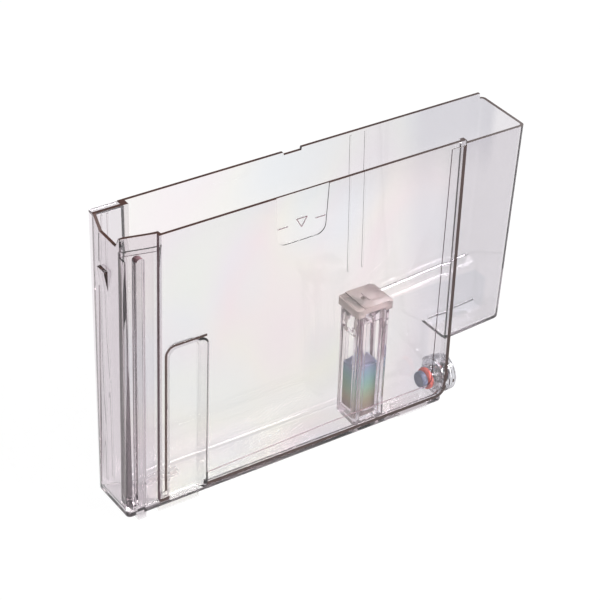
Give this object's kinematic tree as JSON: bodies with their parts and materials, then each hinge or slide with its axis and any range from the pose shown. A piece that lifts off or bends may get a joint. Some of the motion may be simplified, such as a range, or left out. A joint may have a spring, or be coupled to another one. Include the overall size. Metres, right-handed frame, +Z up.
{
  "type": "fresh water tank",
  "caption": "Clear slide-in fresh water tank with a finger pocket, a float cage with lid and float, and a spring-loaded outlet valve.",
  "frame": {"origin": "centre of the bounding box on the standing surface", "axes": "+X from the nose to the tail, +Y from the panel side to the far side, +Z up"},
  "size_m": [0.308, 0.0494, 0.215],
  "materials": {
    "clear_plastic": "gloss",
    "smoke_plastic": "gloss",
    "float_plastic": "satin",
    "navy_plastic": "gloss",
    "natural_plastic": "satin",
    "red_rubber": "satin",
    "spring_steel": "satin",
    "magnet": "satin"
  },
  "bodies": {
    "tank": {"tank_body": "clear_plastic", "float_cage": "clear_plastic", "valve_spring": "spring_steel"},
    "lid": {"cage_lid": "smoke_plastic"},
    "float": {"float": "float_plastic", "float_magnet": "magnet"},
    "valve": {"valve_stem": "natural_plastic", "valve_knob": "navy_plastic", "valve_seal": "red_rubber"}
  },
  "joints": [
    {"name": "lid_lift", "type": "slide", "parent": "tank", "child": "lid", "axis": [0, 0, 1], "range_m": [0, 0.03]},
    {"name": "float_rise", "type": "slide", "parent": "tank", "child": "float", "axis": [0, 0, 1], "range_m": [0, 0.023]},
    {"name": "valve_push", "type": "slide", "parent": "tank", "child": "valve", "axis": [-1, 0, 0], "range_m": [0, 0.0035], "stiffness_N_per_m": 300, "springref_m": -0.002, "deforming": ["valve_spring"]}
  ]
}
